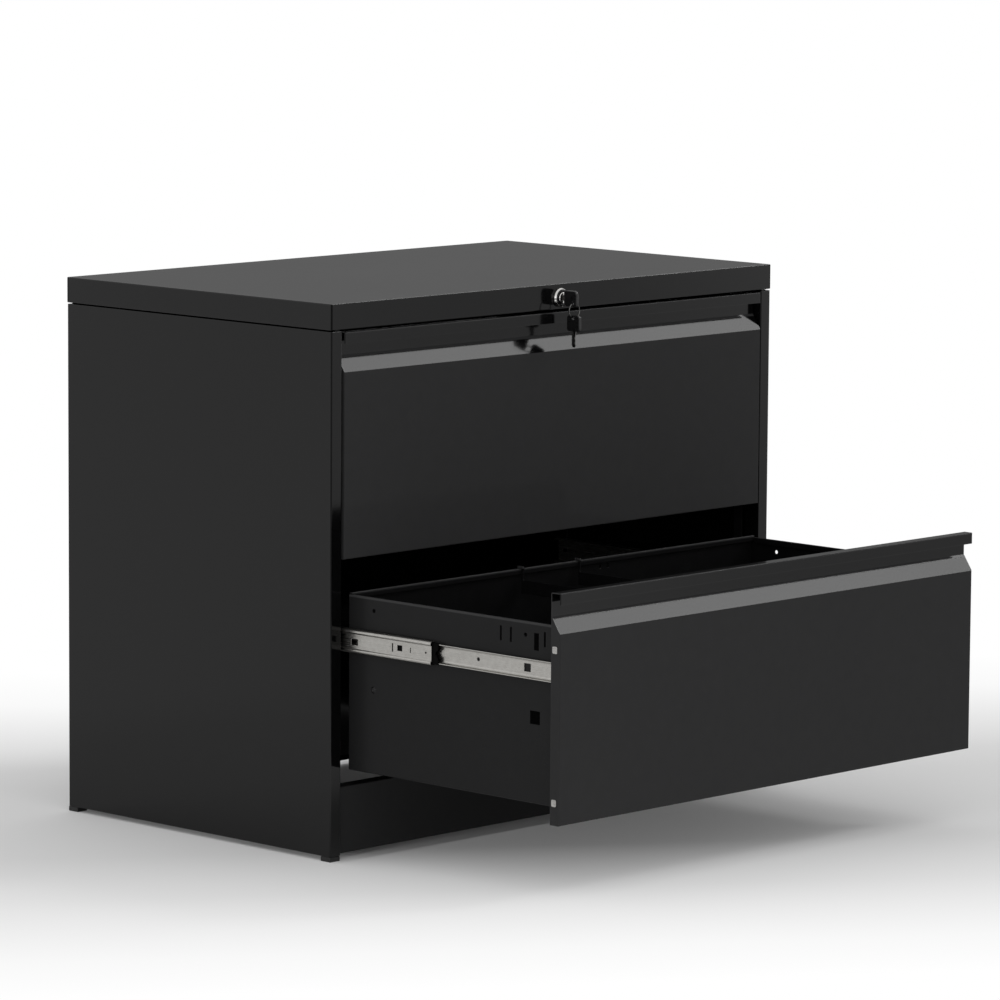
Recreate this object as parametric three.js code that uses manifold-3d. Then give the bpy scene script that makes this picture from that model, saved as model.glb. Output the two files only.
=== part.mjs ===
import * as THREE from 'three';
import { mergeVertices } from 'three/addons/utils/BufferGeometryUtils.js';
import Module from 'manifold-3d';

const wasm = await Module();
wasm.setup();

// Two-drawer lateral filing cabinet, sizes in millimetres.
// The carcass stands centred on the origin, front toward -Y, feet on Z = 0.
const width = 850;
const depth = 507;
const height = 727;

// Clearances
const gap = 0.3;
const slotPlay = 0.7;
const ballPlay = 0.4;

// Sheet metal
const sheet = 1;
const drawerSheet = 0.9;
const bendRadius = 0.6;

// Carcass
const capHeight = 34.4;
const reveal = 1.8;
const capEdge = 1.2;
const footHeight = 7;
const footSize = 17.5;
const footPeg = 3;
const postFace = 19;
const postDepth = 24;
const rearFlange = 18;
const edgeFlange = 16;
const joggle = reveal - gap;
const backFlange = 14;
const kickRecess = 9;
const kickHeight = 88.3;
const kickFlange = 20;

const uprightFlange = 14;
const uprightReach = 22;

// Drawer fronts, drops below the upper edge of the front
const frontGap = 2.6;
const capGap = 3.3;
const lipDrop = 14.6;
const bevelDrop = 30.5;
const faceDrop = 51.9;
const returnDrop = 56.4;
const webRecess = 14.6;
const returnWidth = 28;
const frontMargin = 2.7;
const frontProud = 2.1;
const lowerOpening = 384;

// Drawer bodies
const runnerSpace = 13;
const wallBottom = 21;
const wallDrop = 43.4;
const backRise = 2.5;
const drawerRear = 385;
const rimWidth = 4.5;
const rimDrop = 8;
const floorFlange = 15;
const railThickness = 2.5;
const railHeight = 18;
const railDrop = 13;
const railHook = 2.4;
const railPlaces = { left: -75, right: 36 };
const spareSlotPlaces = [82, 97];
const wallHoleRadius = 2.7;

// Cut-outs in the drawer walls: distance behind the front, width, and drops of both ends below the rim
const wallSlots = [
  [36.1, 3, 10, 29],
  [50.6, 8, 13, 35],
  [52.1, 17, 112, 129],
  [95.1, 3, 10, 29],
  [112.6, 3, 10, 29],
];

// Ball runners
const runnerLength = 365;
const runnerDrop = 58.5;
const runnerSetback = 1.4;
const outerHalf = 18.2;
const middleHalf = 15.5;
const innerHalf = 12.75;
const trackWidth = 4.4;
const trackRadius = 2.4;
const innerTrackRadius = 3.4;
const runnerSheet = 1.1;
const retainerSheet = 0.8;
const retainerLength = 130;
const retainerLead = 94.6;
const middleShare = 0.453;
const retainerShare = (1 + middleShare) / 2;

// Lock and key
const lockDrop = 18.9;
const bezelRadius = 13;
const bezelProud = 6;
const barrelRadius = 10;
const barrelLength = 22;
const plugRadius = 7.5;
const plugProud = 1;
const plugLength = 25;
const tailRadius = 4;
const camThickness = 2.5;
const camReach = 10;
const camPin = 2;
const linkThickness = 2;
const linkStroke = camReach * Math.SQRT2;
const linkGuidePlace = 200;
const barGuidePlace = 35;
const barArm = 20;
const barThickness = 2;
const barWidth = 14;
const studRadius = 4;
const studDrop = 96;
const studPlace = 40;
const gripThickness = 5;
const gripLength = 23;
const gripHeight = 21.4;
const bladeThickness = 1.2;
const bladeHeight = 7;
const ringHole = 2.2;
const ringHoleInset = 5.9;
const ringHoleDrop = 5.6;

// Places worked out from the sizes
const sideX = width / 2;
const frontY = -depth / 2;
const backY = depth / 2;
const capBottom = height - capHeight;
const sideTop = capBottom - reveal;
const postX = sideX - postFace;
const lowerBottom = footHeight + kickHeight + frontGap;
const drawerPitch = (capBottom - capGap + frontGap - lowerBottom) / 2;
const upperBottom = lowerBottom + drawerPitch;
const frontHeight = drawerPitch - frontGap;
const lipBottom = frontHeight - lipDrop;
const bevelTop = frontHeight - bevelDrop;
const bevelBottom = frontHeight - faceDrop;
const returnHeight = frontHeight - returnDrop;
const wallTop = frontHeight - wallDrop;
const railTop = wallTop - railDrop;
const runnerCentre = wallTop - runnerDrop;
const studHeight = wallTop - studDrop;
const frontHalf = postX - frontMargin;
const frontBack = webRecess + sheet;
const wallX = postX - runnerSpace;
const bodyHalf = wallX - drawerSheet - gap;
const bodyFront = frontBack + gap;
const closedY = frontY - frontProud;
const flangeLevel = wallBottom + drawerSheet + gap;
const floorLevel = flangeLevel + drawerSheet + gap;
const runnerFront = closedY + frontBack + runnerSetback;
const lockZ = height - lockDrop;
const camY = frontY + plugLength + gap;
const linkY = camY + camThickness + 2 * gap;
const linkZ = lockZ - camReach * Math.SQRT1_2;
const barY = linkY + linkThickness + 2 * gap;
const barX = postX + gap;
const linkPinX = postX - barArm;
const barPinZ = linkZ + 2.5;

const object = new THREE.Group();
object.name = 'lateral_filing_cabinet';
object.position.y = (lowerOpening + frontProud) / 2;

const finishes = {
  paint: { color: 0x17181a, roughness: 0.22, metalness: 0 },
  zinc: { color: 0xb9b6ae, roughness: 0.34, metalness: 1 },
  nickel: { color: 0xd3d2cd, roughness: 0.16, metalness: 1 },
  plastic: { color: 0x101112, roughness: 0.5, metalness: 0 },
};

function add(group, name, geometry, finish) {
  const mesh = new THREE.Mesh(geometry, new THREE.MeshStandardMaterial(finishes[finish]));
  mesh.name = name;
  group.add(mesh);
}

function groupAt(name, y, z) {
  const group = new THREE.Group();
  group.name = name;
  group.position.set(0, y, z);
  object.add(group);
  return group;
}

function shapeOf(points) {
  return new THREE.Shape(points.map(([a, b]) => new THREE.Vector2(a, b)));
}

function extrude(shape, length) {
  return new THREE.ExtrudeGeometry(shape, { depth: length, bevelEnabled: false, curveSegments: 6 });
}

const axisX = new THREE.Vector3(1, 0, 0);
const axisY = new THREE.Vector3(0, 1, 0);
const axisZ = new THREE.Vector3(0, 0, 1);
const towardFront = new THREE.Vector3(0, -1, 0);

// Outline in Y and Z, drawn out from x0 to x1
function alongX(shape, x0, x1) {
  const geometry = extrude(shape, x1 - x0);
  geometry.applyMatrix4(new THREE.Matrix4().makeBasis(axisY, axisZ, axisX));
  return geometry.translate(x0, 0, 0);
}

// Outline in X and Z, drawn out from y0 to y1
function alongY(shape, y0, y1) {
  const geometry = extrude(shape, y1 - y0);
  geometry.applyMatrix4(new THREE.Matrix4().makeBasis(axisX, axisZ, towardFront));
  return geometry.translate(0, y1, 0);
}

// Outline in X and Y, drawn out from z0 to z1
function alongZ(shape, z0, z1) {
  return extrude(shape, z1 - z0).translate(0, 0, z0);
}

function block(x0, x1, y0, y1, z0, z1) {
  const geometry = new THREE.BoxGeometry(x1 - x0, y1 - y0, z1 - z0);
  return geometry.translate((x0 + x1) / 2, (y0 + y1) / 2, (z0 + z1) / 2);
}

function rodX(radius, x0, x1, y, z, sides = 16) {
  const geometry = new THREE.CylinderGeometry(radius, radius, x1 - x0, sides);
  geometry.rotateZ(-Math.PI / 2);
  return geometry.translate((x0 + x1) / 2, y, z);
}

function rodY(radius, y0, y1, x, z, sides = 24) {
  const geometry = new THREE.CylinderGeometry(radius, radius, y1 - y0, sides);
  return geometry.translate(x, (y0 + y1) / 2, z);
}

function rodZ(radius, z0, z1, x, y, sides = 16) {
  const geometry = new THREE.CylinderGeometry(radius, radius, z1 - z0, sides);
  geometry.rotateX(Math.PI / 2);
  return geometry.translate(x, y, (z0 + z1) / 2);
}

function solid(geometry) {
  const plain = geometry.clone();
  plain.deleteAttribute('normal');
  plain.deleteAttribute('uv');
  const merged = mergeVertices(plain, 1e-5);
  return new wasm.Manifold(new wasm.Mesh({
    numProp: 3,
    vertProperties: new Float32Array(merged.attributes.position.array),
    triVerts: new Uint32Array(merged.index.array),
  }));
}

function surface(manifold) {
  const mesh = manifold.getMesh();
  const geometry = new THREE.BufferGeometry();
  geometry.setAttribute('position', new THREE.BufferAttribute(new Float32Array(mesh.vertProperties), 3));
  geometry.setIndex(new THREE.BufferAttribute(new Uint32Array(mesh.triVerts), 1));
  return geometry;
}

function join(...geometries) {
  return surface(geometries.map(solid).reduce((sum, next) => sum.add(next)));
}

function cut(geometry, ...cutters) {
  return surface(cutters.map(solid).reduce((rest, next) => rest.subtract(next), solid(geometry)));
}

function common(geometry, other) {
  return surface(solid(geometry).intersect(solid(other)));
}

function mirrored(geometry) {
  const copy = surface(solid(geometry));
  copy.scale(-1, 1, 1);
  const corners = copy.index.array;
  for (let start = 0; start < corners.length; start += 3) {
    const first = corners[start];
    corners[start] = corners[start + 1];
    corners[start + 1] = first;
  }
  return copy;
}

function direction(from, to) {
  const length = Math.hypot(to[0] - from[0], to[1] - from[1]);
  return [(to[0] - from[0]) / length, (to[1] - from[1]) / length];
}

// A bent sheet seen end on: the path is one face, the metal lies to its left, and each corner is rounded,
// by a third number where its inner radius isn't the usual one.
function bend(path, thickness) {
  const face = [];
  const inside = [];
  path.forEach((point, index) => {
    const before = index > 0 ? direction(path[index - 1], point) : null;
    const after = index < path.length - 1 ? direction(point, path[index + 1]) : null;
    if (!before || !after) {
      const [dx, dy] = before || after;
      face.push(point);
      inside.push([point[0] - dy * thickness, point[1] + dx * thickness]);
      return;
    }
    const cross = before[0] * after[1] - before[1] * after[0];
    const turn = Math.atan2(cross, before[0] * after[0] + before[1] * after[1]);
    const side = Math.sign(turn);
    const inner = point[2] ?? bendRadius;
    const radius = side > 0 ? inner + thickness : inner;
    const setback = radius * Math.tan(Math.abs(turn) / 2);
    const out = [before[1] * side, -before[0] * side];
    const centre = [
      point[0] - before[0] * setback - out[0] * radius,
      point[1] - before[1] * setback - out[1] * radius,
    ];
    const facet = Math.PI / (point[2] ? 12 : 6);
    const steps = Math.ceil(Math.abs(turn) / facet - 1e-6);
    for (let step = 0; step <= steps; step += 1) {
      const angle = (turn * step) / steps;
      const ray = [
        out[0] * Math.cos(angle) - out[1] * Math.sin(angle),
        out[0] * Math.sin(angle) + out[1] * Math.cos(angle),
      ];
      const offset = radius - side * thickness;
      face.push([centre[0] + ray[0] * radius, centre[1] + ray[1] * radius]);
      inside.push([centre[0] + ray[0] * offset, centre[1] + ray[1] * offset]);
    }
  });
  return { face, inside };
}

function folded(path, thickness) {
  const { face, inside } = bend(path, thickness);
  return shapeOf([...face, ...inside.reverse()]);
}

// Carcass
const cabinet = groupAt('cabinet', 0, 0);

function makeSidePanel() {
  const wall = alongZ(folded([
    [-sideX + rearFlange, backY],
    [-sideX, backY],
    [-sideX, frontY],
    [-postX, frontY],
    [-postX, frontY + postDepth],
  ], sheet), footHeight, sideTop);
  const topFlange = alongY(folded([
    [-sideX + edgeFlange, sideTop + joggle],
    [-sideX + 8, sideTop + joggle],
    [-sideX + 8 - joggle, sideTop],
    [-sideX, sideTop],
    [-sideX, sideTop - edgeFlange],
  ], sheet), frontY + 2 * sheet, backY - 2 * sheet);
  const bottomFlange = alongY(folded([
    [-sideX, footHeight + edgeFlange],
    [-sideX, footHeight],
    [-sideX + edgeFlange, footHeight],
  ], sheet), frontY + 2 * sheet, backY - 2 * sheet);
  const pegHoles = [-1, 1].map((end) => rodZ(
    footPeg + gap, footHeight - 1, footHeight + 3, -sideX + footSize / 2, end * (backY - footSize / 2),
  ));
  return cut(join(wall, topFlange, bottomFlange), ...pegHoles);
}

const sidePanel = makeSidePanel();
add(cabinet, 'left_side_panel', sidePanel, 'paint');
add(cabinet, 'right_side_panel', mirrored(sidePanel), 'paint');

const backFace = backY - sheet - gap;
const backPanel = alongX(folded([
  [backFace - backFlange, footHeight + sheet + gap],
  [backFace, footHeight + sheet + gap],
  [backFace, sideTop - sheet - gap],
  [backFace - backFlange, sideTop - sheet - gap],
], sheet), -sideX + sheet + gap, sideX - sheet - gap);
add(cabinet, 'back_panel', backPanel, 'paint');

function roundedBlock(halfX, halfY, rise, edge, steps) {
  const x = halfX - edge;
  const y = halfY - edge;
  const outline = shapeOf([[-x, -y], [x, -y], [x, y], [-x, y]]);
  const geometry = new THREE.ExtrudeGeometry(outline, {
    depth: rise - 2 * edge,
    bevelEnabled: true,
    bevelSize: edge,
    bevelThickness: edge,
    bevelSegments: steps,
  });
  return geometry.translate(0, 0, edge);
}

const capPan = roundedBlock(sideX, backY, capHeight, capEdge, 3).translate(0, 0, capBottom);
const capHollow = block(
  -sideX + sheet, sideX - sheet, frontY + sheet, backY - sheet, capBottom + sheet, height - sheet,
);
const capMouth = block(
  -sideX + edgeFlange, sideX - edgeFlange, frontY + edgeFlange, backY - edgeFlange,
  capBottom - sheet, capBottom + 2 * sheet,
);
const lockHole = rodY(barrelRadius + gap, frontY - sheet, frontY + 2 * sheet, 0, lockZ, 32);
add(cabinet, 'top_cap', cut(capPan, capHollow, capMouth, lockHole), 'paint');

const kickFace = frontY + kickRecess;
const kickPlate = alongX(folded([
  [kickFace + kickFlange, footHeight + kickHeight],
  [kickFace, footHeight + kickHeight],
  [kickFace, footHeight],
  [kickFace + kickFlange, footHeight],
], sheet), -postX + gap, postX - gap);
add(cabinet, 'kick_plate', kickPlate, 'paint');

const footPad = roundedBlock(footSize / 2, footSize / 2, footHeight - gap, 1, 2);
const foot = join(footPad, rodZ(footPeg, 2, footHeight + sheet, 0, 0));
for (const [end, y] of [['front', frontY + footSize / 2], ['rear', backY - footSize / 2]]) {
  for (const [side, x] of [['left', -sideX + footSize / 2], ['right', sideX - footSize / 2]]) {
    add(cabinet, `${end}_${side}_foot`, foot.clone().translate(x, y, 0), 'plastic');
  }
}

const uprightY = runnerFront + runnerLength;
const upright = alongZ(folded([
  [-postX - sheet, uprightY],
  [-postX - sheet, uprightY - uprightFlange],
  [-sideX + sheet + gap, uprightY - uprightFlange],
  [-sideX + sheet + gap, uprightY - uprightFlange - uprightReach],
], sheet), lowerBottom + wallBottom, upperBottom + wallTop);
add(cabinet, 'left_rear_upright', upright, 'paint');
add(cabinet, 'right_rear_upright', mirrored(upright), 'paint');

// Ball runners: sections are drawn for the left hand, measured inward from the post
function runnerSection(points, thickness) {
  return folded(points.map(([inward, z, radius]) => [-postX + inward, z, radius]), thickness);
}

const innerBack = runnerSpace - gap;
const outerLip = 10.6;
const middleLip = 10.4;
const middleFace = 2.6;
const middleDish = 1.8;
const innerLip = 6.9;
const retainerFace = 5.8;

const outerSection = runnerSection([
  [outerLip, middleHalf + ballPlay],
  [outerLip, outerHalf],
  [gap, outerHalf, trackRadius],
  [gap, -outerHalf, trackRadius],
  [outerLip, -outerHalf],
  [outerLip, -middleHalf - ballPlay],
], runnerSheet);
const middleSection = runnerSection([
  [middleLip, innerHalf + ballPlay],
  [middleLip, middleHalf],
  [middleFace, middleHalf, trackRadius],
  [middleFace, middleHalf - trackWidth],
  [middleFace + middleDish, middleHalf - trackWidth - middleDish],
  [middleFace + middleDish, -middleHalf + trackWidth + middleDish],
  [middleFace, -middleHalf + trackWidth],
  [middleFace, -middleHalf, trackRadius],
  [middleLip, -middleHalf],
  [middleLip, -innerHalf - ballPlay],
], runnerSheet);
const innerSection = runnerSection([
  [innerLip, -innerHalf],
  [innerBack, -innerHalf, innerTrackRadius],
  [innerBack, innerHalf, innerTrackRadius],
  [innerLip, innerHalf],
], runnerSheet);
const retainerHalf = (middleHalf - runnerSheet + innerHalf + retainerSheet) / 2;
const retainerLip = middleLip - runnerSheet - ballPlay;
const retainerSection = runnerSection([
  [retainerLip, retainerHalf],
  [retainerFace, retainerHalf],
  [retainerFace, -retainerHalf],
  [retainerLip, -retainerHalf],
], retainerSheet);

const runnerEnd = runnerFront + runnerLength;
const retainerFront = runnerFront + retainerLead;

function runnerSlot(fromFront, z, alongSize, upSize) {
  const slot = block(
    -postX - 1, -wallX + 0.1, -alongSize / 2, alongSize / 2, -upSize / 2, upSize / 2,
  );
  return slot.translate(0, runnerFront + fromFront, z);
}

function runnerHole(fromFront, z, radius) {
  return rodX(radius, -postX - 1, -wallX + 0.1, runnerFront + fromFront, z, 12);
}

const outerMember = cut(
  alongY(outerSection, runnerFront, runnerEnd),
  runnerSlot(14, 0, 9, 5),
  runnerSlot(runnerLength - 13, 0, 9, 5),
);
const middleMember = cut(
  alongY(middleSection, runnerFront, runnerEnd),
  runnerHole(9.9, 0, 1.5),
  runnerSlot(37.5, 0, 1.4, 6.5),
  runnerSlot(56.8, 0.5, 9, 7.5),
  runnerSlot(69.9, 0, 2, 11),
  runnerSlot(139, -1, 12, 8),
);
const innerMember = cut(
  alongY(innerSection, runnerFront, runnerEnd),
  runnerHole(0, 0, 3),
  runnerSlot(47.5, 0.5, 11.5, 10.5),
  runnerHole(133.3, 1, 2.6),
  runnerHole(runnerLength - 65, 1, 2.6),
);
const retainer = cut(
  alongY(retainerSection, retainerFront, retainerFront + retainerLength),
  runnerHole(retainerLead, 0, 4.5),
);

function addRunners(level, bottom, opened) {
  const centre = bottom + runnerCentre;
  const parts = [
    ['outer', outerMember, 0, 'zinc'],
    ['middle', middleMember, middleShare, 'zinc'],
    ['inner', innerMember, 1, 'zinc'],
    ['retainer', retainer, retainerShare, 'plastic'],
  ];
  for (const [part, geometry, share, finish] of parts) {
    const group = groupAt(`${level}_runner_${part}s`, -opened * share, centre);
    add(group, `${level}_left_runner_${part}`, geometry.clone(), finish);
    add(group, `${level}_right_runner_${part}`, mirrored(geometry), finish);
  }
}

addRunners('upper', upperBottom, 0);
addRunners('lower', lowerBottom, lowerOpening);

// Drawers: drawn from the front's outer face (Y = 0) and its lower edge (Z = 0)
function makeFront() {
  const profile = alongX(folded([
    [sheet, lipBottom],
    [sheet, frontHeight - sheet],
    [webRecess, frontHeight - sheet],
    [webRecess, bevelTop],
    [0, bevelBottom],
    [0, 0],
    [frontBack, 0],
  ], sheet), -frontHalf, frontHalf);
  const endOutline = bend([[webRecess, bevelTop], [0, bevelBottom], [0, 0], [frontBack, 0]], sheet).face;
  const endPlate = shapeOf([...endOutline, [frontBack, bevelTop]]);
  const left = alongX(endPlate, -frontHalf, -frontHalf + sheet);
  const right = alongX(endPlate, frontHalf - sheet, frontHalf);
  const leftReturn = block(-frontHalf, -frontHalf + returnWidth, webRecess, frontBack, 0, returnHeight);
  const rightReturn = block(frontHalf - returnWidth, frontHalf, webRecess, frontBack, 0, returnHeight);
  const edge = bendRadius + sheet;
  const plan = new THREE.Shape();
  plan.moveTo(frontHalf, 2 * frontBack);
  plan.lineTo(-frontHalf, 2 * frontBack);
  plan.lineTo(-frontHalf, edge);
  plan.absarc(-frontHalf + edge, edge, edge, Math.PI, 1.5 * Math.PI, false);
  plan.lineTo(frontHalf - edge, 0);
  plan.absarc(frontHalf - edge, edge, edge, 1.5 * Math.PI, 2 * Math.PI, false);
  const shell = join(profile, left, right, leftReturn, rightReturn);
  return common(shell, alongZ(plan, -sheet, frontHeight + sheet));
}

const innerFront = alongX(folded([
  [bodyFront + rimWidth, wallTop - rimDrop],
  [bodyFront + rimWidth, wallTop],
  [bodyFront, wallTop],
  [bodyFront, flangeLevel],
  [bodyFront + floorFlange, flangeLevel],
], drawerSheet), -bodyHalf, bodyHalf);

const backTop = wallTop + backRise;
const backSheet = alongX(folded([
  [drawerRear - floorFlange, flangeLevel],
  [drawerRear, flangeLevel],
  [drawerRear, backTop],
  [drawerRear - rimWidth, backTop],
  [drawerRear - rimWidth, backTop - rimDrop],
], drawerSheet), -bodyHalf, bodyHalf);
const spareSlots = spareSlotPlaces.map((x) => block(
  x - 1.5, x + 1.5, drawerRear - 2, drawerRear + 1, backTop - 16, backTop - 10,
));
const backWall = cut(backSheet, ...spareSlots);

function makeWall() {
  const profile = alongY(folded([
    [-wallX + rimWidth, wallTop - rimDrop],
    [-wallX + rimWidth, wallTop],
    [-wallX, wallTop],
    [-wallX, wallBottom],
    [-wallX + floorFlange, wallBottom],
  ], drawerSheet), bodyFront, drawerRear);
  const notch = rimWidth + 2;
  const rimNotches = [bodyFront - 1, drawerRear - notch].map((y) => block(
    -wallX + drawerSheet, -wallX + rimWidth + 1, y, y + notch + 1, wallTop - rimDrop - 2, wallTop + 1,
  ));
  const slotCuts = wallSlots.map(([y, size, upper, lower]) => block(
    -wallX - 1, -wallX + 2, y - size / 2, y + size / 2, wallTop - lower, wallTop - upper,
  ));
  const holeCuts = [69.6, drawerRear - 45.4].map((y) => rodX(
    wallHoleRadius, -wallX - 1, -wallX + 2, y, wallTop - 17, 12,
  ));
  return cut(profile, ...rimNotches, ...slotCuts, ...holeCuts);
}

const leftWall = makeWall();
const floorPan = block(
  -bodyHalf, bodyHalf, bodyFront + drawerSheet + gap, drawerRear - drawerSheet - gap,
  floorLevel, floorLevel + drawerSheet,
);

const hookFront = bodyFront - gap;
const hookBack = drawerRear + gap;
const railFront = bodyFront + rimWidth + gap;
const railBack = drawerRear - rimWidth - gap;
const rail = shapeOf([
  [hookFront - railHook, wallTop - 5],
  [hookFront, wallTop - 5],
  [hookFront, wallTop + gap],
  [railFront, wallTop + gap],
  [railFront, railTop - railHeight],
  [railBack, railTop - railHeight],
  [railBack, backTop + gap],
  [hookBack, backTop + gap],
  [hookBack, backTop - 5],
  [hookBack + railHook, backTop - 5],
  [hookBack + railHook, backTop + gap + railHook],
  [railBack - railHook, backTop + gap + railHook],
  [railBack - railHook, railTop],
  [railFront + railHook, railTop],
  [railFront + railHook, wallTop + gap + railHook],
  [hookFront - railHook, wallTop + gap + railHook],
]);

const studProfile = [
  [0, 0], [studRadius + 2, 0], [studRadius + 2, 1.5], [studRadius, 1.5], [studRadius, 9.2], [0, 9.2],
];
const stud = new THREE.LatheGeometry(studProfile.map(([r, y]) => new THREE.Vector2(r, y)), 16);
stud.rotateZ(-Math.PI / 2);
stud.translate(wallX + gap, studPlace, studHeight);

function addDrawer(level, bottom, opened) {
  const group = groupAt(`${level}_drawer`, closedY - opened, bottom);
  add(group, `${level}_drawer_front`, makeFront(), 'paint');
  add(group, `${level}_drawer_inner_front`, innerFront.clone(), 'paint');
  add(group, `${level}_drawer_left_wall`, leftWall.clone(), 'paint');
  add(group, `${level}_drawer_right_wall`, mirrored(leftWall), 'paint');
  add(group, `${level}_drawer_back_wall`, backWall.clone(), 'paint');
  add(group, `${level}_drawer_base`, floorPan.clone(), 'paint');
  for (const [side, x] of Object.entries(railPlaces)) {
    const bar = alongX(rail, x - railThickness / 2, x + railThickness / 2);
    add(group, `${level}_${side}_hanging_rail`, bar, 'zinc');
  }
  add(group, `${level}_lock_stud`, stud.clone(), 'zinc');
}

addDrawer('upper', upperBottom, 0);
addDrawer('lower', lowerBottom, lowerOpening);

// Lock, turned about an axis along Y through the middle of the cap's front skirt
const lock = groupAt('lock', 0, 0);

function turned(profile, sides) {
  return new THREE.LatheGeometry(profile.map(([r, y]) => new THREE.Vector2(r, y)), sides);
}

const boreRadius = plugRadius + gap;
const housing = turned([
  [boreRadius, frontY - bezelProud],
  [bezelRadius - 3, frontY - bezelProud],
  [bezelRadius - 0.8, frontY - bezelProud + 2],
  [bezelRadius, frontY - bezelProud + 3.4],
  [bezelRadius, frontY - gap],
  [barrelRadius, frontY - gap],
  [barrelRadius, frontY + barrelLength],
  [boreRadius, frontY + barrelLength],
  [boreRadius, frontY - bezelProud],
], 40);
add(lock, 'lock_housing', housing.translate(0, 0, lockZ), 'nickel');

const nutShape = shapeOf(Array.from({ length: 6 }, (_, corner) => [
  14 * Math.cos((corner * Math.PI) / 3),
  lockZ + 14 * Math.sin((corner * Math.PI) / 3),
]));
const nut = cut(
  alongY(nutShape, frontY + sheet + gap, frontY + sheet + gap + 5),
  rodY(barrelRadius + gap, frontY, frontY + sheet + gap + 6, 0, lockZ, 40),
);
add(lock, 'lock_nut', nut, 'zinc');

const plugFront = frontY - bezelProud - plugProud;
const plugBody = turned([
  [0, plugFront],
  [plugRadius - 0.7, plugFront],
  [plugRadius, plugFront + 0.7],
  [plugRadius, frontY + plugLength],
  [tailRadius, frontY + plugLength],
  [tailRadius, camY + camThickness],
  [0, camY + camThickness],
], 32).translate(0, 0, lockZ);
const keySlot = block(
  -bladeThickness / 2 - gap, bladeThickness / 2 + gap, plugFront - 1, frontY + 15,
  lockZ - bladeHeight / 2 - gap, lockZ + bladeHeight / 2 + gap,
);
add(lock, 'lock_plug', cut(plugBody, keySlot), 'nickel');

const camPinX = camReach * Math.SQRT1_2;
const camArm = block(0, camReach, -4.5, 4.5, 0, camThickness);
camArm.rotateZ(-Math.PI / 4);
camArm.applyMatrix4(new THREE.Matrix4().makeBasis(axisX, axisZ, towardFront));
camArm.translate(0, camY + camThickness, lockZ);
const cam = cut(
  join(
    rodY(7, camY, camY + camThickness, 0, lockZ),
    camArm,
    rodY(4.5, camY, camY + camThickness, camPinX, linkZ),
    rodY(camPin, camY + 1, linkY + linkThickness + 1, camPinX, linkZ, 16),
  ),
  rodY(tailRadius + gap, camY - 1, camY + camThickness + 1, 0, lockZ),
);
add(lock, 'lock_cam', cam, 'zinc');

// Link under the cap, drawn to the left as the cam turns, with a sloping slot that draws the bar down
const linkLow = linkZ - 7;
const linkHigh = linkZ + 5.2;
const linkStrip = block(-9, linkPinX, linkY, linkY + linkThickness, linkLow, linkHigh);
const linkHead = block(
  linkPinX - 6, linkPinX + linkStroke + 6, linkY, linkY + linkThickness,
  barPinZ - linkStroke - 5.5, barPinZ + 5,
);
const linkSlot = block(
  camPinX - camPin - slotPlay, camPinX + camPin + slotPlay, linkY - 1, linkY + linkThickness + 1,
  lockZ - camReach - camPin - slotPlay, linkZ + camPin + slotPlay,
);
const slopeHalf = camPin + gap;
const slopeSlot = shapeOf([
  [linkPinX - slopeHalf, barPinZ + slopeHalf],
  [linkPinX - slopeHalf, barPinZ - slopeHalf * 0.41],
  [linkPinX + linkStroke - slopeHalf * 0.41, barPinZ - linkStroke - slopeHalf],
  [linkPinX + linkStroke + slopeHalf, barPinZ - linkStroke - slopeHalf],
  [linkPinX + linkStroke + slopeHalf, barPinZ - linkStroke + slopeHalf * 0.41],
  [linkPinX + slopeHalf * 0.41, barPinZ + slopeHalf],
]);
const link = cut(
  join(linkStrip, linkHead),
  linkSlot,
  alongY(slopeSlot, linkY - 1, linkY + linkThickness + 1),
);
add(lock, 'lock_link', link, 'zinc');

const guideX = linkGuidePlace;
const linkGuide = cut(
  join(
    block(guideX - 1, guideX + 1, linkY - 8, linkY + 10, linkLow - 5, height - sheet - gap),
    block(guideX - 10, guideX + 1, linkY - 8, linkY + 10, height - sheet - gap - 1.5, height - sheet - gap),
  ),
  block(
    guideX - 2, guideX + 2, linkY - gap, linkY + linkThickness + gap, linkLow - gap, linkHigh + gap,
  ),
);
add(cabinet, 'lock_link_guide', linkGuide, 'zinc');

function finger(bottom) {
  const low = bottom + studHeight + studRadius + 2;
  return block(wallX + 3.5, barX + barThickness, barY, barY + barThickness, low, low + 11.5);
}

const barLow = lowerBottom + studHeight + studRadius + 2;
const bar = join(
  block(barX, barX + barThickness, barY, barY + barWidth, barLow, barPinZ + 5),
  block(linkPinX - 5, barX + barThickness, barY, barY + barThickness, barPinZ - 6, barPinZ + 5),
  rodY(camPin, linkY - gap, barY + 1, linkPinX, barPinZ, 16),
  finger(lowerBottom),
  finger(upperBottom),
);
add(lock, 'lock_bar', bar, 'zinc');

const barGuideZ = upperBottom + barGuidePlace;
const barGuide = cut(
  block(postX - 2, sideX - sheet - gap, barY - 5, barY + barWidth + 5, barGuideZ, barGuideZ + 2),
  block(
    barX - gap, barX + barThickness + gap, barY - gap, barY + barWidth + gap, barGuideZ - 1, barGuideZ + 3,
  ),
);
add(cabinet, 'lock_bar_guide', barGuide, 'zinc');

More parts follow.
